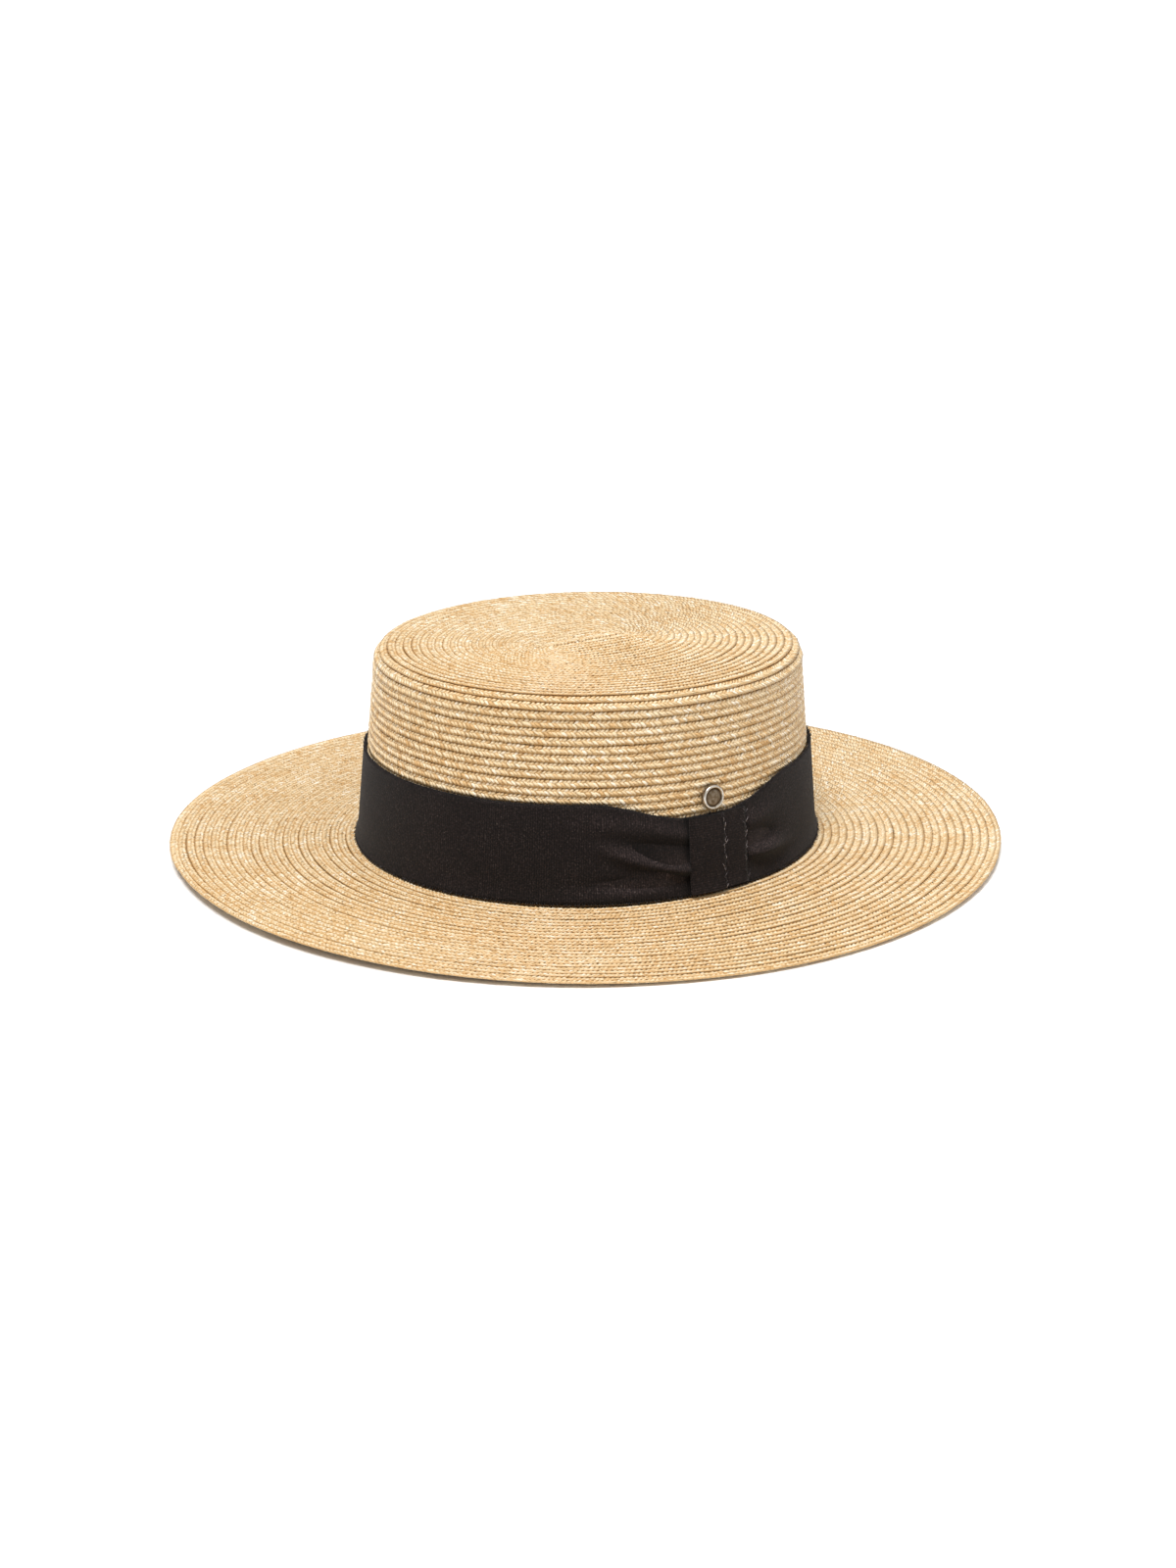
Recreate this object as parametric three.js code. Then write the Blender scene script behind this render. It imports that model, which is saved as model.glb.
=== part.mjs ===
// A straw boater hat: a hollow crown and a wide brim of sewn straw braid, a black ribbed ribbon
// gathered under a keeper of two ribbon tabs, and a small round metal stud above the keeper.
// Millimetres, +Z up. The wearer's front is -Y and the left side is +X. The origin is the middle
// of the brim's underside, on the surface that the hat rests on.

import * as THREE from 'three';

// Head and outline. Every ring of the hat is an oval, longer from front to back.
const crownHalfWidth = 91;
const ovalExtra = 6;
const brimWidth = 78;

// Walls.
const strawThickness = 2.2;
const pieceGap = 0.3;

// Crown, measured above the top of the brim.
const crownHeight = 81.8;
const crownTaper = 6.4;
const crownEdgeRadius = 8;

// The brim is flat near the crown. Its edge lifts a little all round, and more at front and back.
const brimEdgeLift = 0.2;
const brimWaveLift = 2.8;
const brimLowAngle = -9;
const brimFlatShare = 0.4;
const brimEdgeRound = 0.7;

// Ribbon round the foot of the crown.
const ribbonHeight = 39.1;
const ribbonThickness = 0.9;
const ribbonFlare = 1.0;
const ribbonFlareHeight = 8;

// Where the keeper crosses the ribbon, the ribbon is gathered and its top edge dips.
const gatherDrop = 8;
const gatherSpread = 46;
const gatherCore = 8;
const gatherShift = -5;

// Creases that the gather throws out beside the keeper. Arc is along the crown from the keeper's
// middle, share is the place between the ribbon's foot (0) and top (1), slope is share per mm.
const ribbonFolds = [
  { arc: -28, share: 0.41, slope: -0.004, halfLength: 13.5, halfShare: 0.17, out: 1.5 },
  { arc: -28, share: 0.78, slope: 0, halfLength: 13, halfShare: 0.18, out: 1 },
  { arc: -36, share: 0.12, slope: 0.001, halfLength: 20, halfShare: 0.12, out: 0.6 },
  { arc: 26, share: 0.36, slope: -0.004, halfLength: 13.5, halfShare: 0.17, out: 1.4 },
  { arc: 26, share: 0.74, slope: 0, halfLength: 13, halfShare: 0.18, out: 0.9 },
];

// Keeper: two upright tabs of the same ribbon, one over the other.
const tabThickness = 0.9;
const underTabWidth = 24;
const upperTabWidth = 15;
const underTabShift = 0;
const upperTabShift = -6.7;
const tabFootRise = 0.9;
const tabColumns = 9;
const tabRows = 6;

// Stud.
const badgeDiameter = 9.8;
const badgeThickness = 2.2;
const badgeRimWidth = 0.9;
const badgeRimHeight = 0.6;
const badgeDomeDepth = 0.5;
const badgeShift = -3;
const badgeRise = 1.6;

// Facets.
const ovalSteps = 80;
const badgeSteps = 32;
const edgeArcSteps = 6;
const ribbonCoarseStep = 5;
const ribbonFineStep = 2;
const ribbonFineReach = 36;

const brimTop = strawThickness;
const crownFoot = brimTop + pieceGap;
const crownTop = brimTop + crownHeight;
const wallTop = crownTop - crownEdgeRadius;
const ribbonFoot = brimTop + pieceGap;
const ribbonTop = ribbonFoot + ribbonHeight;
const tabFoot = ribbonFoot + tabFootRise;
const tabTop = ribbonTop - gatherDrop;

function ovalPoint(angle, offset, height) {
  const x = (crownHalfWidth + offset) * Math.cos(angle);
  const y = (crownHalfWidth + ovalExtra + offset) * Math.sin(angle);
  return new THREE.Vector3(x, y, height);
}

// How far the crown's outer wall stands in from its foot, at a height on the straight wall.
function wallInset(height) {
  return (crownTaper * (height - brimTop)) / (wallTop - brimTop);
}

function smoothStep(value) {
  const t = Math.min(Math.max(value, 0), 1);
  return t * t * (3 - 2 * t);
}

// One skin of the crown, from its foot up the wall and over the edge to the flat tip.
function crownProfile(inset, top) {
  const radius = crownEdgeRadius - inset;
  const straightTop = top - radius;
  const foot = crownFoot;
  const points = [{ offset: -wallInset(foot) - inset, height: foot }];
  for (let step = 0; step <= edgeArcSteps; step += 1) {
    const turn = (step / edgeArcSteps) * (Math.PI / 2);
    const offset = -crownTaper - inset - radius * (1 - Math.cos(turn));
    points.push({ offset, height: straightTop + radius * Math.sin(turn) });
  }
  return points;
}

// Rings of points joined by quads, closed by a centre point or round again to the first ring.
function ringSolid(rings, closed) {
  const positions = [];
  const indices = [];
  const count = rings[0].length;
  for (const ring of rings) {
    for (const point of ring) {
      positions.push(point.x, point.y, point.z);
    }
  }
  const last = closed ? rings.length : rings.length - 1;
  for (let row = 0; row < last; row += 1) {
    const next = (row + 1) % rings.length;
    for (let step = 0; step < count; step += 1) {
      const after = (step + 1) % count;
      const a = row * count + step;
      const b = row * count + after;
      const c = next * count + after;
      const d = next * count + step;
      indices.push(a, b, c, a, c, d);
    }
  }
  return { positions, indices, count };
}

function addCap(solid, row, centre, flip) {
  const middle = solid.positions.length / 3;
  solid.positions.push(centre.x, centre.y, centre.z);
  for (let step = 0; step < solid.count; step += 1) {
    const a = row * solid.count + step;
    const b = row * solid.count + ((step + 1) % solid.count);
    if (flip) {
      solid.indices.push(b, a, middle);
    } else {
      solid.indices.push(a, b, middle);
    }
  }
}

function toGeometry(solid) {
  const geometry = new THREE.BufferGeometry();
  geometry.setAttribute('position', new THREE.Float32BufferAttribute(solid.positions, 3));
  geometry.setIndex(solid.indices);
  geometry.computeVertexNormals();
  return geometry;
}

function ovalRing(offset, height) {
  const ring = [];
  for (let step = 0; step < ovalSteps; step += 1) {
    const angle = (step / ovalSteps) * Math.PI * 2;
    const z = typeof height === 'function' ? height(angle) : height;
    ring.push(ovalPoint(angle, offset, z));
  }
  return ring;
}

// Crown: the inner skin from the tip down, then the outer skin from the foot up.
function makeCrown() {
  const inner = crownProfile(strawThickness, crownTop - strawThickness);
  const outer = crownProfile(0, crownTop);
  const rings = [];
  for (const point of inner.reverse()) {
    rings.push(ovalRing(point.offset, point.height));
  }
  for (const point of outer) {
    rings.push(ovalRing(point.offset, point.height));
  }
  const solid = ringSolid(rings, false);
  addCap(solid, rings.length - 1, new THREE.Vector3(0, 0, crownTop), false);
  addCap(solid, 0, new THREE.Vector3(0, 0, crownTop - strawThickness), true);
  return toGeometry(solid);
}

// The brim's rise at a place between its inner edge (share 0) and its outer edge (share 1).
function brimRise(angle, share) {
  const low = THREE.MathUtils.degToRad(brimLowAngle);
  const lobe = (1 - Math.cos(2 * (angle - low))) / 2;
  const lift = brimEdgeLift + brimWaveLift * lobe;
  return lift * smoothStep((share - brimFlatShare) / (1 - brimFlatShare));
}

// Brim: a flat ring from under the crown's wall to the edge, with rounded edge corners.
function makeBrim() {
  const table = [
    { share: 0, height: strawThickness },
    { share: 0, height: 0 },
    { share: brimFlatShare, height: 0 },
    { share: 0.6, height: 0 },
    { share: 0.8, height: 0 },
    { share: 1, height: 0, pull: brimEdgeRound },
    { share: 1, height: brimEdgeRound },
    { share: 1, height: strawThickness - brimEdgeRound },
    { share: 1, height: strawThickness, pull: brimEdgeRound },
    { share: 0.8, height: strawThickness },
    { share: 0.6, height: strawThickness },
    { share: brimFlatShare, height: strawThickness },
  ];
  const innerOffset = -strawThickness;
  const span = brimWidth + strawThickness;
  const rings = table.map((row) => {
    const offset = innerOffset + span * row.share - (row.pull ?? 0);
    return ovalRing(offset, (angle) => row.height + brimRise(angle, row.share));
  });
  return toGeometry(ringSolid(rings, true));
}

// The arc along the crown's foot from the keeper's middle to an angle.
function keeperArc(angle) {
  return Math.atan2(Math.sin(angle), Math.cos(angle)) * crownHalfWidth;
}

// How strongly the ribbon is gathered at an angle: 1 under the keeper, 0 away from it.
function gather(angle) {
  const away = Math.abs(keeperArc(angle) - gatherShift) - gatherCore;
  return 1 - smoothStep(away / (gatherSpread - gatherCore));
}

// How far the creases stand out at a place on the ribbon.
function foldRelief(angle, share) {
  const arc = keeperArc(angle);
  let relief = 0;
  for (const fold of ribbonFolds) {
    const along = (arc - fold.arc) / fold.halfLength;
    const up = (share - fold.share - fold.slope * (arc - fold.arc)) / fold.halfShare;
    const reach = Math.max(0, 1 - along * along) * Math.max(0, 1 - up * up);
    relief += fold.out * reach;
  }
  return relief;
}

// How far a ribbon's face stands out from the crown's foot line at a height.
function ribbonOffset(height) {
  const rise = (height - ribbonFoot) / ribbonFlareHeight;
  const flare = ribbonFlare * Math.max(0, 1 - rise) ** 2;
  return pieceGap - wallInset(height) + flare;
}

// Angles round the ribbon: coarse steps at the back of it, fine steps round the keeper.
function ribbonAngles() {
  const angles = [];
  for (let turn = -ribbonFineReach; turn < ribbonFineReach; turn += ribbonFineStep) {
    angles.push(THREE.MathUtils.degToRad(turn));
  }
  const rest = 360 - 2 * ribbonFineReach;
  const steps = Math.round(rest / ribbonCoarseStep);
  for (let step = 0; step < steps; step += 1) {
    angles.push(THREE.MathUtils.degToRad(ribbonFineReach + (rest * step) / steps));
  }
  return angles;
}

// Ribbon band: a closed strip, its inner face from the top down and its outer face from the foot up.
function makeRibbonBand() {
  const shares = [0, 0.12, 0.3, 0.48, 0.66, 0.84, 1];
  const angles = ribbonAngles();
  const makeRing = (share, thickness) => angles.map((angle) => {
    const height = ribbonFoot + (ribbonHeight - gatherDrop * gather(angle)) * share;
    const offset = ribbonOffset(height) + foldRelief(angle, share) + thickness;
    return ovalPoint(angle, offset, height);
  });
  const inner = shares.map((share) => makeRing(share, 0)).reverse();
  const outer = shares.map((share) => makeRing(share, ribbonThickness));
  return toGeometry(ringSolid([...inner, ...outer], true));
}

// A tab of ribbon laid upright against the band, bent with the crown.
function makeTab(width, shift, layerOffset) {
  const positions = [];
  const indices = [];
  for (const thickness of [0, tabThickness]) {
    for (let row = 0; row <= tabRows; row += 1) {
      for (let column = 0; column <= tabColumns; column += 1) {
        const arc = shift + width * (column / tabColumns - 0.5);
        const height = tabFoot + (tabTop - tabFoot) * (row / tabRows);
        const offset = ribbonOffset(height) + layerOffset + thickness;
        const point = ovalPoint(arc / crownHalfWidth, offset, height);
        positions.push(point.x, point.y, point.z);
      }
    }
  }
  const wide = tabColumns + 1;
  const layer = wide * (tabRows + 1);
  const at = (column, row, side) => side * layer + row * wide + column;
  const quad = (a, b, c, d) => indices.push(a, b, c, a, c, d);
  for (let row = 0; row < tabRows; row += 1) {
    const up = row + 1;
    for (let column = 0; column < tabColumns; column += 1) {
      const next = column + 1;
      quad(at(column, row, 1), at(next, row, 1), at(next, up, 1), at(column, up, 1));
      quad(at(column, row, 0), at(column, up, 0), at(next, up, 0), at(next, row, 0));
    }
    quad(at(0, row, 0), at(0, row, 1), at(0, up, 1), at(0, up, 0));
    quad(at(tabColumns, row, 1), at(tabColumns, row, 0), at(tabColumns, up, 0), at(tabColumns, up, 1));
  }
  for (let column = 0; column < tabColumns; column += 1) {
    const next = column + 1;
    quad(at(column, 0, 0), at(next, 0, 0), at(next, 0, 1), at(column, 0, 1));
    quad(at(column, tabRows, 1), at(next, tabRows, 1), at(next, tabRows, 0), at(column, tabRows, 0));
  }
  return toGeometry({ positions, indices });
}

// Stud: a turned disc with a raised rim round a shallow dished face, lying on the crown's wall.
function makeBadge() {
  const radius = badgeDiameter / 2;
  const rim = radius - badgeRimWidth;
  const face = badgeThickness - badgeRimHeight;
  const profile = [
    new THREE.Vector2(0, 0),
    new THREE.Vector2(radius - 0.4, 0),
    new THREE.Vector2(radius, 0.5),
    new THREE.Vector2(radius, badgeThickness - 0.4),
    new THREE.Vector2(radius - 0.3, badgeThickness),
    new THREE.Vector2(rim, badgeThickness),
    new THREE.Vector2(rim - 0.3, face),
    new THREE.Vector2(rim * 0.5, face - badgeDomeDepth * 0.6),
    new THREE.Vector2(0, face - badgeDomeDepth),
  ];
  return new THREE.LatheGeometry(profile, badgeSteps);
}

// The stud sits on the crown's wall, above the keeper, square to the wall.
function placeBadge(mesh) {
  const height = tabTop + badgeRise + badgeDiameter / 2;
  const angle = badgeShift / crownHalfWidth;
  const lean = Math.atan2(crownTaper, wallTop - brimTop);
  const seat = ovalPoint(angle, -wallInset(height), height);
  const outward = new THREE.Vector3(Math.cos(angle), Math.sin(angle), Math.tan(lean)).normalize();
  mesh.position.copy(seat).addScaledVector(outward, pieceGap);
  mesh.quaternion.setFromUnitVectors(new THREE.Vector3(0, 1, 0), outward);
}

const strawMaterial = new THREE.MeshStandardMaterial({ color: 0xdbb880, roughness: 0.55, metalness: 0 });
const brimMaterial = new THREE.MeshStandardMaterial({ color: 0xd9b57c, roughness: 0.55, metalness: 0 });
const ribbonMaterial = new THREE.MeshStandardMaterial({ color: 0x262122, roughness: 0.85, metalness: 0 });
const underTabMaterial = new THREE.MeshStandardMaterial({ color: 0x242021, roughness: 0.85, metalness: 0 });
const upperTabMaterial = new THREE.MeshStandardMaterial({ color: 0x29242a, roughness: 0.85, metalness: 0 });
const badgeMaterial = new THREE.MeshStandardMaterial({ color: 0x8a857b, roughness: 0.35, metalness: 1 });

function namedMesh(name, geometry, material) {
  const mesh = new THREE.Mesh(geometry, material);
  mesh.name = name;
  return mesh;
}

const tabLayer = ribbonThickness + pieceGap;
const upperLayer = tabLayer + tabThickness + pieceGap;

const hat = new THREE.Group();
hat.add(namedMesh('crown', makeCrown(), strawMaterial));
hat.add(namedMesh('brim', makeBrim(), brimMaterial));
hat.add(namedMesh('ribbon_band', makeRibbonBand(), ribbonMaterial));
hat.add(namedMesh('keeper_under', makeTab(underTabWidth, underTabShift, tabLayer), underTabMaterial));
hat.add(namedMesh('keeper_loop', makeTab(upperTabWidth, upperTabShift, upperLayer), upperTabMaterial));

const badge = namedMesh('badge', makeBadge(), badgeMaterial);
placeBadge(badge);
hat.add(badge);

export default hat;
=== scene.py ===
# Straw boater hat: wound straw braid, black ribbed ribbon with a gathered keeper, small metal stud.
# Everything is in metres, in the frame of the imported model: +Z up, front -Y, wearer's left +X.
import math

import bpy
import numpy as np
from mathutils import Matrix, Vector


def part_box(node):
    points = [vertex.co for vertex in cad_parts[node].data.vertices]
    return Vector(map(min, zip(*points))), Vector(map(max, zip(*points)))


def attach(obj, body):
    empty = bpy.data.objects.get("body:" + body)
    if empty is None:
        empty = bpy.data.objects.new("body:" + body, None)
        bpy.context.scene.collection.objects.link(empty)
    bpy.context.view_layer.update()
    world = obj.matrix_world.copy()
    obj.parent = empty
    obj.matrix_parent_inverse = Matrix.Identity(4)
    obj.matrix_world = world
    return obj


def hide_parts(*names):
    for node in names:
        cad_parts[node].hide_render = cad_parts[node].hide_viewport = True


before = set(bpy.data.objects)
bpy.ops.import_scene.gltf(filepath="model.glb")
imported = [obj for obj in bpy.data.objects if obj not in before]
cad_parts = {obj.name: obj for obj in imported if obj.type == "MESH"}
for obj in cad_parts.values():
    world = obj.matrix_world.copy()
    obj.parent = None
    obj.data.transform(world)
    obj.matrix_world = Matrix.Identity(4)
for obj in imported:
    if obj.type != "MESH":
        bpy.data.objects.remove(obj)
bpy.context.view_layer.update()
mm = 0.001
tau = 2 * math.pi
scene = bpy.context.scene
print("frame loaded")

# sizes that the pieces share, worked out from the frame where it has them
crownLow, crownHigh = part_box("crown")
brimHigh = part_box("brim")[1]
bandLow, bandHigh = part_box("ribbon_band")
tabLow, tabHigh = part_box("keeper_under")
badgeLow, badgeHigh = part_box("badge")
crownGap = 0.3 * mm  # between the crown's foot and the brim

hat = {
    "halfWidth": crownHigh.x,  # of the crown at its foot
    "ovalExtra": crownHigh.y - crownHigh.x,  # how much longer the oval is, from front to back
    "brimEdge": brimHigh.x,
    "brimTop": crownLow.z - crownGap,
    "crownTop": crownHigh.z,
    "taper": 6.4 * mm,
    "edgeRadius": 8 * mm,
    "ribbonHeight": bandHigh.z - bandLow.z,
    "ribbonFoot": bandLow.z,
    "tabFoot": tabLow.z,
    "tabTop": tabHigh.z,
}
hat["wallHeight"] = hat["crownTop"] - hat["edgeRadius"] - hat["brimTop"]


# the next few make node trees, for shaders and geometry alike
def plug(tree, target, key, value):
    if isinstance(key, int):
        socket = target.inputs[key]
    else:
        socket = [s for s in target.inputs if s.enabled and s.name == key][0]
    if isinstance(value, bpy.types.NodeSocket):
        tree.links.new(value, socket)
    else:
        socket.default_value = value


def addNode(tree, kind, inputs=None, **settings):
    made = tree.nodes.new(kind)
    for name, value in settings.items():
        setattr(made, name, value)
    for key, value in (inputs or {}).items():
        plug(tree, made, key, value)
    return made


def result(tree, kind, inputs=None, **settings):
    return addNode(tree, kind, inputs, **settings).outputs[0]


def calc(tree, operation, *values):
    return result(tree, "ShaderNodeMath", dict(enumerate(values)), operation=operation)


def times(tree, first, second):
    return calc(tree, "MULTIPLY", first, second)


def vectorCalc(tree, operation, *values):
    made = addNode(tree, "ShaderNodeVectorMath", operation=operation)
    for index, value in enumerate(values):
        plug(tree, made, "Scale" if operation == "SCALE" and index == 1 else index, value)
    return made.outputs[0]


def xyz(tree, x, y, z):
    return result(tree, "ShaderNodeCombineXYZ", {0: x, 1: y, 2: z})


def splitXyz(tree, vector):
    return addNode(tree, "ShaderNodeSeparateXYZ", {0: vector}).outputs


def ease(tree, value, low, high, toLow=0.0, toHigh=1.0, kind="SMOOTHSTEP"):
    sockets = {"Value": value, "From Min": low, "From Max": high, "To Min": toLow, "To Max": toHigh}
    return result(tree, "ShaderNodeMapRange", sockets, interpolation_type=kind)


def noise(tree, vector, scale, detail=2.0):
    sockets = {"Vector": vector, "Scale": scale, "Detail": detail}
    return result(tree, "ShaderNodeTexNoise", sockets)


def readMark(tree, label, kind="FLOAT"):
    return result(tree, "GeometryNodeInputNamedAttribute", {"Name": label}, data_type=kind)


def storeMark(tree, geometry, label, value, kind="FLOAT", domain="POINT"):
    sockets = {"Geometry": geometry, "Name": label, "Value": value}
    return result(tree, "GeometryNodeStoreNamedAttribute", sockets, data_type=kind, domain=domain)


def randomValue(tree, given, low, high, offset, identity):
    made = addNode(tree, "FunctionNodeRandomValue", {"Min": low, "Max": high, "ID": identity})
    plug(tree, made, "Seed", calc(tree, "ADD", given["Seed"], offset))
    return made.outputs[1]


# points Z and X along two directions, then turns by a few small angles from there
def turnTo(tree, alongZ, alongX, angles):
    axes = {"Primary Axis": alongZ, "Secondary Axis": alongX}
    upright = result(tree, "FunctionNodeAxesToRotation", axes, primary_axis="Z", secondary_axis="X")
    local = result(tree, "FunctionNodeEulerToRotation", {0: angles})
    sockets = {"Rotation": upright, "Rotate By": local}
    return result(tree, "FunctionNodeRotateRotation", sockets, rotation_space="LOCAL")


def moveBy(tree, geometry, offset):
    return result(tree, "GeometryNodeSetPosition", {"Geometry": geometry, "Offset": offset})


def newTree(name, inputs):
    tree = bpy.data.node_groups.new(name, "GeometryNodeTree")
    tree.interface.new_socket("Geometry", in_out="INPUT", socket_type="NodeSocketGeometry")
    for kind, labels in inputs.items():
        for label in labels:
            tree.interface.new_socket(label, in_out="INPUT", socket_type="NodeSocket" + kind)
    tree.interface.new_socket("Geometry", in_out="OUTPUT", socket_type="NodeSocketGeometry")
    given = {s.name: s for s in tree.nodes.new("NodeGroupInput").outputs}
    return tree, given


def endTree(tree, given, geometry):
    whole = result(tree, "GeometryNodeRealizeInstances", {"Geometry": geometry})
    whole = result(tree, "GeometryNodeSetShadeSmooth", {"Geometry": whole})
    whole = result(tree, "GeometryNodeSetMaterial", {"Geometry": whole, "Material": given["Material"]})
    addNode(tree, "NodeGroupOutput", {0: whole})
    return tree


def placeObject(name, data):
    made = bpy.data.objects.new(name, data)
    scene.collection.objects.link(made)
    return made


# leaves a plain mesh of what the tree makes from the host
def bake(name, host, tree, values):
    modifier = host.modifiers.new(tree.name, "NODES")
    modifier.node_group = tree
    for item in tree.interface.items_tree:
        if item.in_out == "INPUT" and item.name in values:
            modifier[item.identifier] = values[item.name]
    bpy.context.view_layer.update()
    graph = bpy.context.evaluated_depsgraph_get()
    mesh = bpy.data.meshes.new_from_object(host.evaluated_get(graph), depsgraph=graph)
    mesh.name = name
    bpy.data.objects.remove(host)
    return placeObject(name, mesh)


def lineObject(name, points, closed=False):
    mesh = bpy.data.meshes.new(name)
    edges = [(i, i + 1) for i in range(len(points) - 1)]
    if closed:
        edges.append((len(points) - 1, 0))
    mesh.from_pydata([tuple(p) for p in points], edges, [])
    return placeObject(name, mesh)


def meshObject(name, points, faces, smooth=True):
    mesh = bpy.data.meshes.new(name)
    mesh.from_pydata([tuple(p) for p in points], [], faces)
    mesh.validate()
    mesh.polygons.foreach_set("use_smooth", [smooth] * len(mesh.polygons))
    return placeObject(name, mesh)


def markPoints(made, marks, kind="FLOAT", field="value"):
    for label, values in marks.items():
        attribute = made.data.attributes.new(label, kind, "POINT")
        attribute.data.foreach_set(field, np.ascontiguousarray(values, dtype=np.float32).ravel())


def newMaterial(name):
    material = bpy.data.materials.new(name)
    material.use_nodes = True
    return material, material.node_tree


def dress(material, looks):
    for label, value in looks.items():
        plug(material.node_tree, material.node_tree.nodes["Principled BSDF"], label, value)
    return material


def shaderMark(tree, label, output="Fac"):
    return addNode(tree, "ShaderNodeAttribute", attribute_name=label).outputs[output]


def objectPlace(tree):
    return addNode(tree, "ShaderNodeTexCoord").outputs["Object"]


def bump(tree, height, strength, distance):
    sockets = {"Strength": strength, "Distance": distance, "Height": height}
    return result(tree, "ShaderNodeBump", sockets)


def rgb(red, green, blue):
    shares = [level / 255 for level in (red, green, blue)]
    linear = [((share + 0.055) / 1.055) ** 2.4 if share > 0.04045 else share / 12.92 for share in shares]
    return (*linear, 1)


# each stop is its place on the ramp, then red, green and blue
def ramp(tree, value, stops):
    made = addNode(tree, "ShaderNodeValToRGB", {0: value})
    elements = made.color_ramp.elements
    stops = [(place, rgb(*levels)) for place, *levels in stops]
    elements[0].position, elements[0].color = stops[0]
    elements[1].position, elements[1].color = stops[-1]
    for place, colour in stops[1:-1]:
        elements.new(place).color = colour
    return made.outputs[0]


braid = {
    "rowPitch": 3.3 * mm,
    "stripWidth": 5.0 * mm,
    "stripThickness": 0.55 * mm,
    "sink": 1.3 * mm,  # from the outer skin to the middle of the strip
    "tipTilt": 0.1,  # each row's outer edge rides up over the next row, by a slope
    "wallTilt": 0.21,
    "brimTilt": 0.18,
    "firstTilt": 0.15,  # the share of its slope that the tip's first row has
    "firstReach": 5 * mm,
    "tiltFrom": 3 * mm,  # the crown's slope grows from the tip's to the wall's over this stretch
    "tiltTo": 90 * mm,
    "wander": 1.3 * mm,  # how far a row strays, at most
    "wanderScale": 2.6,
    "wanderRise": 3.7,  # a larger one makes neighbouring rows stray more alike
    "wanderTurns": 3,  # the first rows stray less
    "stepsPerTurn": 96,
    "seed": 7,
    "tipStart": 1.0 * mm,
    "tipSegment": 12 * mm,  # half length of the straight start of the spiral
    "tipReach": 70 * mm,  # the rows bend round that start up to here
    "tipOverrun": 3 * mm,
    "cornerSteps": 12,
    "footGap": 0.9 * mm,  # the crown's braid ends this far over the brim
    "underRibbon": 9 * mm,  # the single straws go on this far under the ribbon, past its dip
    "brimInset": 2 * mm,  # the brim's braid starts this far inside the crown's foot
    "brimStart": 2.6 * mm,
    "brimMargin": 2.5 * mm,  # from the middle of the last row to the brim's edge
    "brimSplit": (0.4, 0.72),  # shares of the brim's width, where one piece follows another
    "edgeLift": 0.2 * mm,  # of the brim's edge, and how much more it has at front and back
    "waveLift": 2.8 * mm,
    "liftFrom": 0.4,  # share of the brim's width where its lift begins
    "lowAngle": math.radians(-9),  # where the brim's edge lies lowest
    "endless": 1.0,  # further out than any row
}
strands = {
    "spacing": 1.75 * mm,
    "size": (2.9 * mm, 1.8 * mm, 0.4 * mm),  # length, width and height of a straw
    "lean": math.radians(36),
    "alongRange": (-0.16, 0.16),  # share of the spacing
    "acrossSpread": 0.12 * mm,
    "heightSpread": 0.07 * mm,
    "heightShare": 0.45,  # of the strip's thickness
    "leanRange": (-0.14, 0.14),
    "rollRange": (-0.12, 0.12),
    "pitchRange": (-0.1, 0.06),
    "lengthRange": (0.86, 1.14),
    "widthRange": (0.82, 1.12),
    "thickRange": (0.8, 1.2),
    # which way a column leans, and its place across and along the strip
    "columns": [
        {"side": 1.0, "across": -0.01, "along": 0.0},
        {"side": -1.0, "across": 0.27, "along": 0.5},
    ],
}
straw = {
    "tones": [
        (0.0, 213, 174, 120),
        (0.2, 226, 196, 150),
        (0.55, 232, 208, 168),
        (0.9, 239, 219, 185),
        (1.0, 248, 235, 213),
    ],
    "drawnTones": [(0.1, 196, 152, 98), (0.5, 219, 184, 136), (1.0, 242, 220, 182)],
    "patchScale": 45.0,
    # painted shade: a straw is coloured darker where it goes under the next row
    "tuckShade": 0.55,  # how much darker a straw gets where it goes under the next row
    "drawnMiddle": 0.5 * mm,  # between the two columns drawn on the bare strip
    "drawnLean": 0.75,
}


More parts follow.
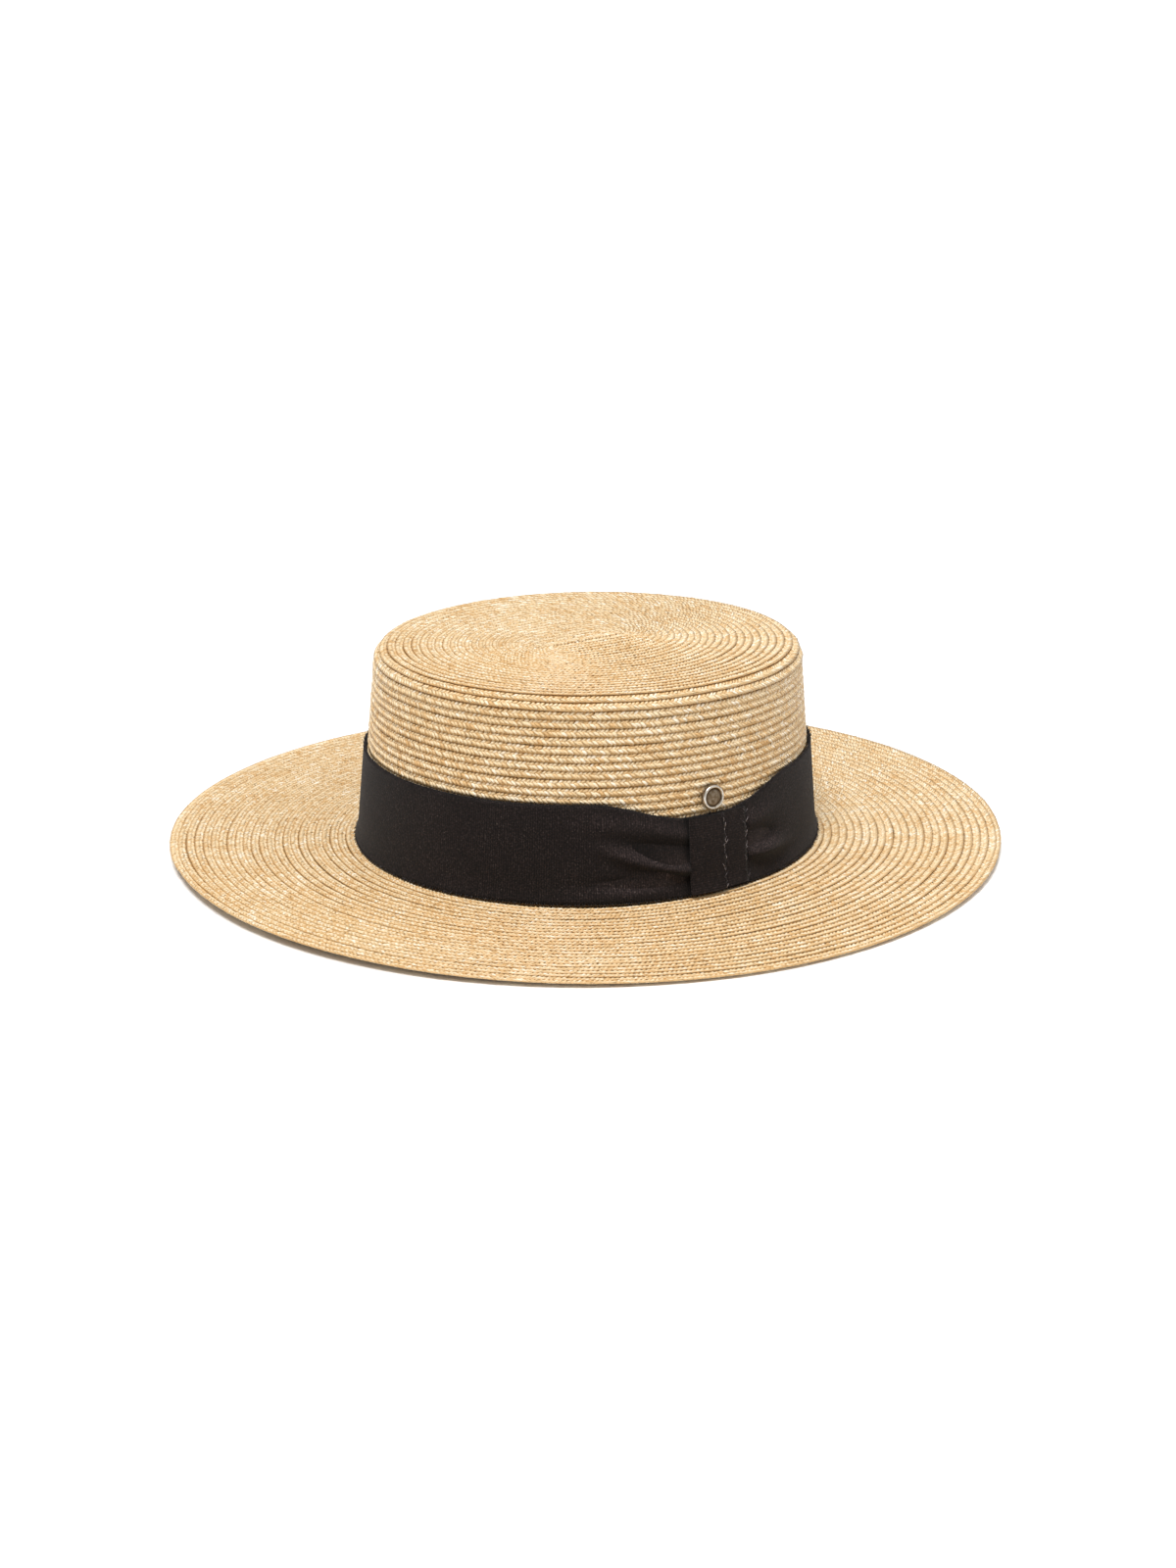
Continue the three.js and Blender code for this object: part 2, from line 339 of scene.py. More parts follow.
def strawMaterial():
    material, tree = newMaterial("wheatStraw")
    tone = shaderMark(tree, "strandTone")
    spotX, spotY, spotZ = splitXyz(tree, shaderMark(tree, "strandSpot", "Vector"))
    patch = noise(tree, objectPlace(tree), straw["patchScale"], 3.0)
    mixedTone = calc(tree, "MULTIPLY_ADD", calc(tree, "SUBTRACT", patch, 0.5), 0.6, tone)
    strawColour = ramp(tree, mixedTone, straw["tones"])
    fibreX = times(tree, spotX, 0.6)
    fibreY = times(tree, spotY, 9.0)
    fibre = noise(tree, xyz(tree, fibreX, fibreY, times(tree, tone, 37.0)), 1.6, 3.0)
    fibreShade = ease(tree, fibre, 0.3, 0.7, 0.86, 1.08, "LINEAR")
    # painted shade: darker towards each straw's base, and on the bare strip between the straws
    depthShade = ease(tree, spotZ, -0.15, 0.4, 0.9, 1.0)
    # painted shade: the first column's straws darken towards the end where they go under the next row
    innerColumn = calc(tree, "SUBTRACT", 1.0, shaderMark(tree, "outerColumn"))
    tuckedShade = times(tree, innerColumn, ease(tree, spotX, 0.06, 0.44))
    shade = times(tree, fibreShade, depthShade)
    shade = times(tree, shade, calc(tree, "MULTIPLY_ADD", tuckedShade, -straw["tuckShade"], 1.0))
    # darker parts turn amber: painted shade at bases and tucks, and the straw's own grain streaks
    amberShade = xyz(tree, shade, calc(tree, "POWER", shade, 1.4), calc(tree, "POWER", shade, 2.1))
    shaded = vectorCalc(tree, "MULTIPLY", strawColour, amberShade)
    # the bare strip, seen from below and inside, has the same two columns of leaning straws drawn on it
    across = shaderMark(tree, "stripAcross")
    offMiddle = calc(tree, "ABSOLUTE", calc(tree, "SUBTRACT", across, straw["drawnMiddle"]))
    column = calc(tree, "GREATER_THAN", across, straw["drawnMiddle"])
    leaning = calc(tree, "MULTIPLY_ADD", offMiddle, straw["drawnLean"], shaderMark(tree, "braidRun"))
    strawPlace = calc(tree, "DIVIDE", leaning, strands["spacing"])
    strawPlace = calc(tree, "MULTIPLY_ADD", column, 0.5, strawPlace)
    edgeShare = calc(tree, "ABSOLUTE", calc(tree, "SUBTRACT", calc(tree, "FRACT", strawPlace), 0.5))
    cell = xyz(tree, calc(tree, "FLOOR", strawPlace), column, 0.0)
    cellTone = result(tree, "ShaderNodeTexWhiteNoise", {"Vector": cell})
    cellTone = calc(tree, "MULTIPLY_ADD", patch, 0.5, times(tree, cellTone, 0.7))
    drawn = ramp(tree, cellTone, straw["drawnTones"])
    # painted shade: each drawn straw darkens towards its edges, as in the grooves between straws
    drawn = vectorCalc(tree, "SCALE", drawn, ease(tree, edgeShare, 0.3, 0.5, 1.0, 0.55))
    bareFace = calc(tree, "LESS_THAN", shaderMark(tree, "stripSide"), -0.5)
    colour = addNode(tree, "ShaderNodeMix", {0: bareFace, 6: shaded, 7: drawn}, data_type="RGBA")
    return dress(material, {
        "Base Color": colour.outputs[2],
        "Roughness": ease(tree, fibre, 0.2, 0.8, 0.5, 0.34, "LINEAR"),
        "Normal": bump(tree, fibre, 0.25, 0.2 * mm),
    })


def strandObject():
    stations = [(-0.5, 0.72, 0.1), (-0.05, 1.0, 1.0), (0.5, 0.8, 0.25)]  # place, width and height
    across = [(-0.5, -0.3), (0.0, 0.85), (0.5, -0.3)]
    sides = len(across)
    points = []
    for x, wide, high in stations:
        for y, z in across:
            points.append((x, y * wide, z * high if z > 0 else z))
    faces = []
    for row in range(len(stations) - 1):
        for column in range(sides):
            a, b = row * sides + column, row * sides + (column + 1) % sides
            faces.append((a, b, b + sides, a + sides))
    faces.append(tuple(reversed(range(sides))))
    faces.append(tuple(range(len(points) - sides, len(points))))
    return meshObject("strandShape", points, faces)


def sectionObject():
    half = braid["stripWidth"] / 2
    thick = braid["stripThickness"] / 2
    section = [(-half, -0.6 * thick), (half, -thick), (half, thick), (-half, 0.6 * thick)]
    return lineObject("stripSection", [(high, across, 0) for across, high in section], closed=True)


def braidTree():
    tree, given = newTree("woundBraid", {
        "Object": ["Strip Section", "Strand"],
        "Material": ["Material"],
        "Int": ["Steps Per Turn", "Seed"],
        "Vector": ["Strand Size"],
        "Float": [
            "Row Pitch", "First Length", "Last Length", "Closed Turns", "Turns", "Start Angle", "Wander",
            "First Tilt", "Tilt Low", "Tilt High", "Tilt From", "Tilt To", "Oval Extra", "Tip Segment",
            "Tip Reach", "Edge Lift", "Wave Lift", "Low Angle", "Lift From", "Lift To", "Strand Spacing",
            "Strands To", "Lean",
        ],
    })
    index = result(tree, "GeometryNodeInputIndex")
    position = result(tree, "GeometryNodeInputPosition")

    # the spiral: one point for each step, taken from the meridian at a length that grows by the row pitch
    meridian = result(tree, "GeometryNodeMeshToCurve", {"Mesh": given["Geometry"]})
    count = calc(tree, "MULTIPLY_ADD", given["Turns"], given["Steps Per Turn"], 1.5)  # rounded down
    line = result(tree, "GeometryNodeMeshLine", {"Count": count})
    turn = calc(tree, "DIVIDE", index, given["Steps Per Turn"])
    angle = calc(tree, "MULTIPLY_ADD", turn, tau, given["Start Angle"])
    cosine = calc(tree, "COSINE", angle)
    sine = calc(tree, "SINE", angle)
    grown = calc(tree, "SUBTRACT", turn, given["Closed Turns"])  # the start closes on itself
    grown = calc(tree, "MAXIMUM", grown, 0.0)
    reach = calc(tree, "MULTIPLY_ADD", grown, given["Row Pitch"], given["First Length"])
    reach = calc(tree, "SMOOTH_MIN", reach, given["Last Length"], 1 * mm)  # the last row runs along the edge
    ring = xyz(tree, cosine, sine, calc(tree, "DIVIDE", angle, braid["wanderRise"]))
    wander = calc(tree, "SUBTRACT", noise(tree, ring, braid["wanderScale"]), 0.5)
    steady = ease(tree, angle, 0.0, braid["wanderTurns"] * tau, 0.0, 1.0, "LINEAR")
    wander = times(tree, wander, times(tree, steady, given["Wander"]))
    reach = calc(tree, "ADD", reach, wander)
    taken = addNode(tree, "GeometryNodeSampleCurve", {"Curves": meridian, "Length": reach}, mode="LENGTH")
    radius, _, height = splitXyz(tree, taken.outputs["Position"])
    outRun, _, upRun = splitXyz(tree, taken.outputs["Tangent"])
    near = calc(tree, "SUBTRACT", 1.0, calc(tree, "DIVIDE", reach, given["Tip Reach"]))
    near = calc(tree, "MAXIMUM", near, 0.0)
    nearSquare = times(tree, near, near)
    extra = calc(tree, "MULTIPLY_ADD", given["Tip Segment"], nearSquare, given["Oval Extra"])
    sharp = calc(tree, "MULTIPLY_ADD", nearSquare, 3.5, 0.3)
    slide = calc(tree, "TANH", times(tree, sharp, sine))
    slide = calc(tree, "DIVIDE", slide, calc(tree, "TANH", sharp))
    x = times(tree, radius, cosine)
    y = calc(tree, "ADD", times(tree, radius, sine), times(tree, extra, slide))
    lobe = times(tree, calc(tree, "SUBTRACT", angle, given["Low Angle"]), 2.0)
    lobe = calc(tree, "MULTIPLY_ADD", calc(tree, "COSINE", lobe), -0.5, 0.5)
    liftSize = calc(tree, "MULTIPLY_ADD", lobe, given["Wave Lift"], given["Edge Lift"])
    lift = times(tree, liftSize, ease(tree, radius, given["Lift From"], given["Lift To"]))
    place = xyz(tree, x, y, calc(tree, "ADD", height, lift))
    for label, value in (("reach", reach), ("outRun", outRun), ("upRun", upRun)):
        line = storeMark(tree, line, label, value)
    line = result(tree, "GeometryNodeSetPosition", {"Geometry": line, "Position": place})
    path = result(tree, "GeometryNodeMeshToCurve", {"Mesh": line})

    # directions at each point: along the braid, across it towards the outer edge, and out of the straw
    tangent = result(tree, "GeometryNodeInputTangent")
    outward = vectorCalc(tree, "NORMALIZE", vectorCalc(tree, "CROSS_PRODUCT", tangent, (0, 0, 1)))

    def blendDirections(outPart, upPart):
        flat = vectorCalc(tree, "SCALE", outward, outPart)
        return vectorCalc(tree, "ADD", flat, xyz(tree, 0.0, 0.0, upPart))

    reached = readMark(tree, "reach")
    low, high = given["Tilt Low"], given["Tilt High"]
    tilt = ease(tree, reached, given["Tilt From"], given["Tilt To"], low, high, "LINEAR")
    tiltShare = ease(tree, reached, 0.0, braid["firstReach"], given["First Tilt"], 1.0)
    tilt = times(tree, tilt, tiltShare)
    cosTilt = calc(tree, "COSINE", tilt)
    sinTilt = calc(tree, "SINE", tilt)
    run = readMark(tree, "outRun")
    climb = readMark(tree, "upRun")
    acrossOut = times(tree, run, cosTilt)
    acrossOut = calc(tree, "SUBTRACT", acrossOut, times(tree, climb, sinTilt))
    acrossUp = times(tree, climb, cosTilt)
    acrossUp = calc(tree, "ADD", acrossUp, times(tree, run, sinTilt))
    facing = blendDirections(times(tree, acrossUp, -1.0), acrossOut)
    path = storeMark(tree, path, "braidRun", addNode(tree, "GeometryNodeSplineParameter").outputs["Length"])
    path = storeMark(tree, path, "along", tangent, "FLOAT_VECTOR")
    path = storeMark(tree, path, "across", blendDirections(acrossOut, acrossUp), "FLOAT_VECTOR")
    path = storeMark(tree, path, "facing", facing, "FLOAT_VECTOR")
    along = readMark(tree, "along", "FLOAT_VECTOR")
    across = readMark(tree, "across", "FLOAT_VECTOR")
    facing = readMark(tree, "facing", "FLOAT_VECTOR")
    sockets = {"Curve": path, "Normal": facing}
    path = result(tree, "GeometryNodeSetCurveNormal", sockets, mode="FREE")

    # the flat strip itself
    section = addNode(tree, "GeometryNodeObjectInfo", {"Object": given["Strip Section"]}).outputs["Geometry"]
    section = result(tree, "GeometryNodeMeshToCurve", {"Mesh": section})
    sectionOut, sectionAcross, _ = splitXyz(tree, position)
    section = storeMark(tree, section, "stripSide", calc(tree, "SIGN", sectionOut))
    section = storeMark(tree, section, "stripAcross", sectionAcross)
    sockets = {"Curve": path, "Profile Curve": section, "Fill Caps": True}
    strip = result(tree, "GeometryNodeCurveToMesh", sockets)

    # the strands: two columns of short leaning straws on the outer face of each row
    sockets = {"Curve": path, "Length": given["Strand Spacing"]}
    points = result(tree, "GeometryNodeCurveToPoints", sockets, mode="LENGTH")
    wanted = calc(tree, "LESS_THAN", reached, given["Strands To"])
    strand = addNode(tree, "GeometryNodeObjectInfo", {"Object": given["Strand"]}).outputs["Geometry"]
    strand = storeMark(tree, strand, "strandSpot", position, "FLOAT_VECTOR")
    acrossSpread, heightSpread = strands["acrossSpread"], strands["heightSpread"]
    outMiddle = braid["stripThickness"] * strands["heightShare"]

    def draw(low, high, offset):
        return randomValue(tree, given, low, high, offset, index)

    layers = [strip]
    for number, column in enumerate(strands["columns"]):
        shift = number * 20
        acrossMiddle = column["across"] * braid["stripWidth"]
        jitter = draw(*strands["alongRange"], shift + 1)
        alongStep = calc(tree, "ADD", jitter, column["along"])
        alongStep = times(tree, alongStep, given["Strand Spacing"])
        acrossStep = calc(tree, "MULTIPLY_ADD", draw(-1.0, 1.0, shift + 2), acrossSpread, acrossMiddle)
        outStep = calc(tree, "MULTIPLY_ADD", draw(-1.0, 1.0, shift + 3), heightSpread, outMiddle)
        move = vectorCalc(tree, "SCALE", along, alongStep)
        move = vectorCalc(tree, "ADD", move, vectorCalc(tree, "SCALE", across, acrossStep))
        move = vectorCalc(tree, "ADD", move, vectorCalc(tree, "SCALE", facing, outStep))
        lean = calc(tree, "ADD", given["Lean"], draw(*strands["leanRange"], shift + 4))
        roll = draw(*strands["rollRange"], shift + 5)
        pitch = draw(*strands["pitchRange"], shift + 6)
        angles = xyz(tree, roll, pitch, times(tree, lean, column["side"]))
        long = draw(*strands["lengthRange"], shift + 7)
        wide = draw(*strands["widthRange"], shift + 8)
        size = xyz(tree, long, wide, draw(*strands["thickRange"], shift + 9))
        placed = result(tree, "GeometryNodeInstanceOnPoints", {
            "Points": moveBy(tree, points, move),
            "Selection": wanted,
            "Instance": strand,
            "Rotation": turnTo(tree, facing, along, angles),
            "Scale": vectorCalc(tree, "MULTIPLY", given["Strand Size"], size),
        })
        placed = storeMark(tree, placed, "strandTone", draw(0.0, 1.0, shift + 10), "FLOAT", "INSTANCE")
        layers.append(storeMark(tree, placed, "outerColumn", float(number), "FLOAT", "INSTANCE"))
    joined = addNode(tree, "GeometryNodeJoinGeometry")
    for layer in layers:
        tree.links.new(layer, joined.inputs[0])
    return endTree(tree, given, joined.outputs[0])


def crownMeridian():
    wallTop = hat["crownTop"] - hat["edgeRadius"]
    flatEnd = hat["halfWidth"] - hat["taper"] - hat["edgeRadius"]
    radius = hat["edgeRadius"] - braid["sink"]
    points = [(0, 0, hat["crownTop"] - braid["sink"])]
    for step in range(braid["cornerSteps"] + 1):
        turn = step / braid["cornerSteps"] * math.pi / 2
        points.append((flatEnd + radius * math.sin(turn), 0, wallTop + radius * math.cos(turn)))
    points.append((hat["halfWidth"] - braid["sink"], 0, hat["brimTop"] + braid["footGap"]))
    return points


def brimMeridian():
    height = hat["brimTop"] - braid["sink"]
    return [(hat["halfWidth"] - braid["brimInset"], 0, height), (hat["brimEdge"], 0, height)]


def lineLength(points):
    return sum((Vector(b) - Vector(a)).length for a, b in zip(points, points[1:]))


# winds pieces that follow each other; the first row closes on itself and the last one runs along the edge
def windPieces(tree, points, start, values, pieces):
    made = {}
    reach = start
    stepsBefore = 0
    for piece in pieces:
        name = piece["name"]
        closedTurns = 1.0 if piece is pieces[0] else 0.0
        edgeTurns = 1.0 if piece is pieces[-1] else 0.0
        turns = (piece["last"] - reach) / braid["rowPitch"] + closedTurns + edgeTurns
        steps = round(turns * braid["stepsPerTurn"])
        turns = steps / braid["stepsPerTurn"]
        made[name] = bake(name, lineObject(name + "_meridian", points), tree, {
            **values,
            "First Length": reach,
            "Last Length": piece["last"] if edgeTurns else braid["endless"],
            "Closed Turns": closedTurns,
            "Turns": turns,
            "Start Angle": stepsBefore / braid["stepsPerTurn"] * tau,
            "Strands To": piece.get("strandsTo", braid["endless"]),
        })
        stepsBefore += steps
        reach += (turns - closedTurns) * braid["rowPitch"]
        size = [round(v * 1000, 1) for v in made[name].dimensions]
        print(name, len(made[name].data.polygons), "faces", size)
    return made


def makeBraidPieces():
    tree = braidTree()
    strand = strandObject()
    section = sectionObject()
    common = {
        "Strip Section": section,
        "Strand": strand,
        "Material": strawMaterial(),
        "Row Pitch": braid["rowPitch"],
        "Wander": braid["wander"],
        "Steps Per Turn": braid["stepsPerTurn"],
        "Tilt From": braid["tiltFrom"],
        "Tilt To": braid["tiltTo"],
        "Oval Extra": hat["ovalExtra"],
        "Tip Reach": braid["tipReach"],
        "Strand Spacing": strands["spacing"],
        "Strand Size": strands["size"],
        "Lean": strands["lean"],
        "Seed": braid["seed"],
        "Low Angle": braid["lowAngle"],
    }
    crownValues = {
        "First Tilt": braid["firstTilt"],
        "Tilt Low": braid["tipTilt"],
        "Tilt High": braid["wallTilt"],
        "Tip Segment": braid["tipSegment"],
        "Edge Lift": 0.0,
        "Wave Lift": 0.0,
        "Lift From": 0.0,
        "Lift To": 1.0,
    }
    brimValues = {
        "First Tilt": 1.0,
        "Tilt Low": braid["brimTilt"],
        "Tilt High": braid["brimTilt"],
        "Tip Segment": 0.0,
        "Edge Lift": braid["edgeLift"],
        "Wave Lift": braid["waveLift"],
        "Lift From": hat["halfWidth"] + braid["liftFrom"] * (hat["brimEdge"] - hat["halfWidth"]),
        "Lift To": hat["brimEdge"],
    }
    crownPoints = crownMeridian()
    crownLength = lineLength(crownPoints)
    tipEnd = hat["halfWidth"] - hat["taper"] + braid["tipOverrun"]
    strandsEnd = crownLength - hat["ribbonHeight"] + braid["underRibbon"]
    made = windPieces(tree, crownPoints, braid["tipStart"], {**common, **crownValues}, [
        {"name": "crown_tip_braid", "last": tipEnd},
        {"name": "crown_side_braid", "last": crownLength, "strandsTo": strandsEnd},
    ])
    brimPoints = brimMeridian()
    brimLength = lineLength(brimPoints)
    firstSplit, secondSplit = braid["brimSplit"]
    made.update(windPieces(tree, brimPoints, braid["brimStart"], {**common, **brimValues}, [
        {"name": "brim_inner_braid", "last": firstSplit * brimLength},
        {"name": "brim_middle_braid", "last": secondSplit * brimLength},
        {"name": "brim_outer_braid", "last": brimLength - braid["brimMargin"]},
    ]))
    bpy.data.objects.remove(strand)
    bpy.data.objects.remove(section)
    return made


braidPieces = makeBraidPieces()
for piece in braidPieces.values():
    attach(piece, "root")
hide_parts("crown")
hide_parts("brim")
print("straw braid made")


ribbon = {
    "offset": 0.3 * mm,  # clear of the straw
    "leastOffset": 0.1 * mm,
    "thickness": 0.8 * mm,
    "flare": 1.0 * mm,  # how far the bottom edge leans out over the brim
    "flareHeight": 8 * mm,
    "gatherDrop": 8 * mm,  # how far the keeper pulls the top edge down
    "gatherSpread": 46 * mm,
    "gatherCore": 8 * mm,
    "gatherShift": -5 * mm,
    "ribPitch": 0.95 * mm,
    "ribHeight": 0.13 * mm,
    "weavePitch": 0.55 * mm,
    "rows": 26,
    "backShares": [1, 0.7, 0.4, 0.12, 0],  # where the inner face has a point
    # soft creases beside the keeper: place along the foot, share of the height, slope, size and relief
    "creases": [
        {"arc": -19, "share": 0.37, "slope": -0.006, "halfLength": 14, "halfShare": 0.085, "out": 3.2},
        {"arc": -36, "share": 0.46, "slope": -0.007, "halfLength": 13, "halfShare": 0.09, "out": 1.9},
        {"arc": -20, "share": 0.56, "slope": -0.004, "halfLength": 17, "halfShare": 0.09, "out": -2.4},
        {"arc": -19, "share": 0.8, "slope": -0.003, "halfLength": 17, "halfShare": 0.12, "out": 1.5},
        {"arc": -42, "share": 0.78, "slope": 0.0, "halfLength": 18, "halfShare": 0.13, "out": 0.9},
        {"arc": -34, "share": 0.2, "slope": 0.0, "halfLength": 22, "halfShare": 0.06, "out": -1.2},
        {"arc": -38, "share": 0.08, "slope": 0.001, "halfLength": 22, "halfShare": 0.08, "out": 0.9},
        {"arc": 22, "share": 0.31, "slope": -0.004, "halfLength": 14, "halfShare": 0.085, "out": 3.0},
        {"arc": 18, "share": 0.49, "slope": -0.004, "halfLength": 14, "halfShare": 0.08, "out": -2.2},
        {"arc": 18, "share": 0.72, "slope": -0.002, "halfLength": 15, "halfShare": 0.12, "out": 1.4},
        {"arc": 32, "share": 0.1, "slope": 0.003, "halfLength": 14, "halfShare": 0.08, "out": -0.6},
    ],
}
keeper = {
    "thickness": 0.8 * mm,
    "underWidth": 24 * mm,
    "underShift": 0.0,
    "underLayer": 1.2 * mm,
    "upperWidth": 15 * mm,
    "upperShift": -6.7 * mm,
    "upperLayer": 2.4 * mm,
    "columns": 18,
    "ribHeight": 0.2 * mm,
    "foldWidth": 1.5 * mm,  # each tab's left edge is a soft fold
    "foldDepth": 0.5 * mm,
    "foldLight": 0.6,
}


def wallInset(height):
    return hat["taper"] * (height - hat["brimTop"]) / hat["wallHeight"]


def smoothStep(value):
    value = np.clip(value, 0, 1)
    return value * value * (3 - 2 * value)


def gatherAt(arc):
    away = np.abs(arc - ribbon["gatherShift"]) - ribbon["gatherCore"]
    return 1 - smoothStep(away / (ribbon["gatherSpread"] - ribbon["gatherCore"]))


def bandTop(arc):
    return hat["ribbonFoot"] + hat["ribbonHeight"] - ribbon["gatherDrop"] * gatherAt(arc)


def bandOffset(height):
    rise = (height - hat["ribbonFoot"]) / ribbon["flareHeight"]
    return ribbon["offset"] - wallInset(height) + ribbon["flare"] * np.maximum(0, 1 - rise) ** 2


def creaseRelief(arc, share):
    relief = 0 * arc
    for crease in ribbon["creases"]:
        place = arc / mm - crease["arc"]
        along = place / crease["halfLength"]
        up = (share - crease["share"] - crease["slope"] * place) / crease["halfShare"]
        relief = relief + crease["out"] * mm * np.exp(-1.6 * along * along - 1.6 * up * up)
    return relief * smoothStep((np.abs(arc) - 11 * mm) / (4 * mm))  # flat under the keeper


# how much light the cloth's face gets: its creases' upper sides more, hollows and the keeper's flanks less
def foldLight(arc, share):
    step = 0.02
    rise = creaseRelief(arc, share - step) - creaseRelief(arc, share + step)
    rise = rise / (2 * step * hat["ribbonHeight"])
    leftEdge = keeper["upperShift"] - keeper["upperWidth"] / 2
    rightEdge = keeper["underShift"] + keeper["underWidth"] / 2
    leftGap = np.exp(-(((arc - leftEdge) / mm + 0.6) / 1.1) ** 2)
    rightGap = np.exp(-(((arc - rightEdge) / mm - 0.5) / 0.9) ** 2)
    light = 0.5 + 0.7 * rise + 0.1 * creaseRelief(arc, share) / mm - 0.4 * leftGap - 0.3 * rightGap
    return np.clip(light, 0, 1)


def ovalPlace(angle, offset, height):
    halfLength = hat["halfWidth"] + hat["ovalExtra"]
    return np.stack([
        (hat["halfWidth"] + offset) * np.cos(angle),
        (halfLength + offset) * np.sin(angle),
        height + 0 * angle,
    ], axis=-1)


# rows of a grid go once round the section of the cloth, and stations go along it
def sheetObject(name, grid, marks, wrap):
    stations, around = grid.shape[:2]
    points = grid.reshape(-1, 3)
    faces = []
    last = stations if wrap else stations - 1
    for station in range(last):
        following = (station + 1) % stations
        for row in range(around):
            up = (row + 1) % around
            faces.append((station * around + row, following * around + row,
                          following * around + up, station * around + up))
    if not wrap:
        faces.append(tuple(range(around)))
        faces.append(tuple((stations - 1) * around + row for row in reversed(range(around))))
    made = meshObject(name, points, faces)
    markPoints(made, marks)
    return made


def sheetMarks(section, ribShare, width, light):
    across = (len(ribShare), 1)
    return {
        "ribShare": np.repeat(ribShare[:, None], len(section), axis=1),
        "sheetFace": np.tile([depth for share, depth in section], across),
        "weaveHeight": np.tile([share * width / ribbon["weavePitch"] for share, depth in section], across),
        "foldLight": light,
    }


def ribTree():
    tree, given = newTree("ribbonRibs", {"Float": ["Rib Count", "Rib Height"], "Material": ["Material"]})
    normal = result(tree, "GeometryNodeInputNormal")
    phase = times(tree, readMark(tree, "ribShare"), given["Rib Count"])
    phase = times(tree, phase, math.pi)
    rib = calc(tree, "ABSOLUTE", calc(tree, "SINE", phase))
    lift = times(tree, rib, given["Rib Height"])
    lift = times(tree, lift, readMark(tree, "sheetFace"))  # none on the inner face
    marked = storeMark(tree, given["Geometry"], "ribRise", rib)
    return endTree(tree, given, moveBy(tree, marked, vectorCalc(tree, "SCALE", normal, lift)))


def ribbonMaterial():
    material, tree = newMaterial("blackRibbon")
    fine = noise(tree, objectPlace(tree), 1500.0, 3.0)
    broad = noise(tree, objectPlace(tree), 60.0)
    weave = shaderMark(tree, "weaveHeight")
    pick = calc(tree, "SINE", times(tree, weave, tau))  # the fine threads across the ribs
    mixed = calc(tree, "MULTIPLY_ADD", calc(tree, "SUBTRACT", broad, 0.5), 0.16, fine)
    mixed = calc(tree, "MULTIPLY_ADD", pick, 0.05, mixed)
    colour = ramp(tree, mixed, [(0.25, 9, 7, 7), (0.5, 23, 17, 16), (0.68, 42, 34, 33), (0.85, 84, 76, 73)])
    ribShade = ease(tree, shaderMark(tree, "ribRise"), 0.0, 0.8, 0.45, 1.12, "LINEAR")
    light = shaderMark(tree, "foldLight")
    hollowShade = ease(tree, light, 0.0, 0.5, 0.2, 1.0, "LINEAR")
    crestShade = ease(tree, light, 0.5, 1.0, 1.0, 2.3, "LINEAR")
    for shade in (ribShade, hollowShade, crestShade):
        colour = vectorCalc(tree, "SCALE", colour, shade)
    return dress(material, {
        "Base Color": colour,
        "Roughness": 0.8,
        "Specular IOR Level": 0.14,
        "Sheen Weight": 0.06,
        "Sheen Roughness": 0.5,
        "Normal": bump(tree, fine, 0.5, 0.3 * mm),
    })


def makeBand(tree, material):
    meanRadius = hat["halfWidth"] + hat["ovalExtra"] / 2
    ribCount = round(tau * meanRadius / ribbon["ribPitch"])
    stations = 3 * ribCount
    angle = np.arange(stations) / stations * tau
    arc = np.arctan2(np.sin(angle), np.cos(angle)) * hat["halfWidth"]
    shares = np.linspace(0, 1, ribbon["rows"])
    section = [(share, 1.0) for share in shares] + [(share, 0.0) for share in ribbon["backShares"]]
    rows = []
    for share, depth in section:
        height = hat["ribbonFoot"] + (bandTop(arc) - hat["ribbonFoot"]) * share
        offset = bandOffset(height) + creaseRelief(arc, share) + ribbon["thickness"] * depth
        offset = np.maximum(offset, ribbon["leastOffset"] - wallInset(height))
        rows.append(ovalPlace(angle, offset, height))
    grid = np.stack(rows, axis=1)
    light = np.stack([foldLight(arc, share) for share, depth in section], axis=1)
    marks = sheetMarks(section, np.arange(stations) / stations, hat["ribbonHeight"], light)
    host = sheetObject("ribbon_band_sheet", grid, marks, True)
    values = {"Rib Count": float(ribCount), "Rib Height": ribbon["ribHeight"], "Material": material}
    return bake("ribbon_band_cloth", host, tree, values)


def makeTab(name, tree, material, which):
    width, shift, layer = (keeper[which + label] for label in ("Width", "Shift", "Layer"))
    top = hat["tabTop"]
    foot = hat["tabFoot"]
    ribCount = round((top - foot) / ribbon["ribPitch"])
    stations = 3 * ribCount + 1
    height = np.linspace(foot, top, stations)
    across = np.linspace(-0.5, 0.5, keeper["columns"])
    section = [(share, 1.0) for share in across] + [(share, 0.0) for share in across[::-1]]
    rows = []
    for share, depth in section:
        arc = shift + width * share
        fold = np.clip((0.5 + share) * width / keeper["foldWidth"], 0, 1)
        bend = -keeper["foldDepth"] * (1 - fold) ** 2 * depth
        offset = bandOffset(height) + layer + keeper["thickness"] * depth + bend
        rows.append(ovalPlace(arc / hat["halfWidth"] + 0 * height, offset, height))
    grid = np.stack(rows, axis=1)
    light = np.full((stations, len(section)), keeper["foldLight"])
    marks = sheetMarks(section, np.linspace(0, 1, stations), width, light)
    host = sheetObject(name + "_sheet", grid, marks, False)
    values = {"Rib Count": float(ribCount), "Rib Height": keeper["ribHeight"], "Material": material}
    return bake(name, host, tree, values)


ribs = ribTree()
cloth = ribbonMaterial()
bandCloth = makeBand(ribs, cloth)
underTab = makeTab("keeper_under_tab", ribs, cloth, "under")
upperTab = makeTab("keeper_upper_tab", ribs, cloth, "upper")
for piece, node, slotName in (
    (bandCloth, "ribbon_band", "ribbon"),
    (underTab, "keeper_under", "keeper_ribbon"),
    (upperTab, "keeper_loop", "keeper_ribbon"),
):
    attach(piece, "root")
    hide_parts(node)
    print(piece.name, len(piece.data.polygons), "faces")
print("ribbon made")


